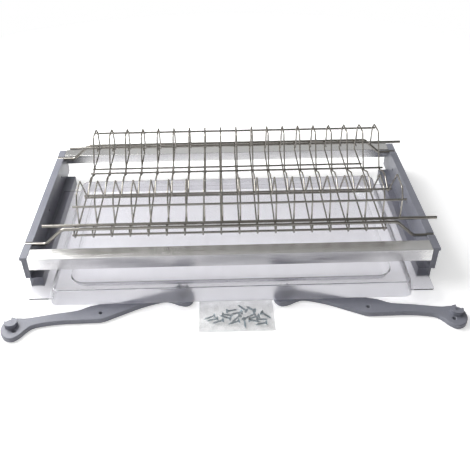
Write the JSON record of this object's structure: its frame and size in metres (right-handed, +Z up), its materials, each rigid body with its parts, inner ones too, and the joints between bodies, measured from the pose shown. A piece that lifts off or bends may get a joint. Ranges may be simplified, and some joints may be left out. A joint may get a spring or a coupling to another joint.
{
  "type": "cabinet dish drainer",
  "caption": "Wire plate rack over a wire glass rack in a frame of plastic sides and aluminium profiles, with a sliding clear drip tray, two clip arms and a bag of screws.",
  "frame": {"origin": "on the floor, under the middle of the whole part's footprint, arms and bag included", "axes": "+X along the racks to the right, +Y to the rear, +Z up; the tray comes out towards -Y"},
  "size_m": [0.5913, 0.4078, 0.1147],
  "materials": {
    "chrome": "bright plated wire",
    "grey_plastic": "satin moulded",
    "aluminium": "satin anodised",
    "clear_plastic": "clear glossy",
    "clear_film": "clear film",
    "zinc": "zinc plated"
  },
  "bodies": {
    "frame": {"side_moulding_left": "grey_plastic", "side_moulding_right": "grey_plastic", "profile_front": "aluminium", "profile_rear": "aluminium", "arm_left": "grey_plastic", "arm_right": "grey_plastic", "screw_bag": "clear_film", "screw_1": "zinc", "screw_2": "zinc", "screw_3": "zinc", "screw_4": "zinc"},
    "tray": {"tray": "clear_plastic"},
    "glass_rack": {"glass_rod_front": "chrome", "glass_rod_rear": "chrome", "glass_thin_rod_1": "chrome", "glass_thin_rod_2": "chrome", "glass_thin_rod_3": "chrome", "glass_wire_01": "chrome", "glass_wire_02": "chrome", "glass_wire_03": "chrome", "glass_wire_04": "chrome", "glass_wire_05": "chrome", "glass_wire_06": "chrome", "glass_wire_07": "chrome", "glass_wire_08": "chrome", "glass_wire_09": "chrome", "glass_wire_10": "chrome", "glass_wire_11": "chrome", "glass_wire_12": "chrome", "glass_wire_13": "chrome", "glass_wire_14": "chrome", "glass_wire_15": "chrome", "glass_wire_16": "chrome", "glass_wire_17": "chrome", "glass_wire_18": "chrome"},
    "plate_rack": {"plate_rod_front": "chrome", "plate_rod_rear": "chrome", "plate_valley_rod_front": "chrome", "plate_valley_rod_rear": "chrome", "plate_outer_rail_front": "chrome", "plate_outer_rail_rear": "chrome", "plate_wire_01": "chrome", "plate_wire_02": "chrome", "plate_wire_03": "chrome", "plate_wire_04": "chrome", "plate_wire_05": "chrome", "plate_wire_06": "chrome", "plate_wire_07": "chrome", "plate_wire_08": "chrome", "plate_wire_09": "chrome", "plate_wire_10": "chrome", "plate_wire_11": "chrome", "plate_wire_12": "chrome", "plate_wire_13": "chrome", "plate_wire_14": "chrome", "plate_wire_15": "chrome", "plate_wire_16": "chrome", "plate_wire_17": "chrome", "plate_wire_18": "chrome", "plate_wire_19": "chrome"}
  },
  "joints": [
    {"name": "tray_slide", "type": "slide", "parent": "frame", "child": "tray", "axis": [0, -1, 0], "range_m": [-0.006, 0.225]},
    {"name": "glass_rack_lift", "type": "slide", "parent": "frame", "child": "glass_rack", "axis": [0, 0, 1], "range_m": [0, 0.15]},
    {"name": "plate_rack_lift", "type": "slide", "parent": "glass_rack", "child": "plate_rack", "axis": [0, 0, 1], "range_m": [0, 0.2]}
  ]
}
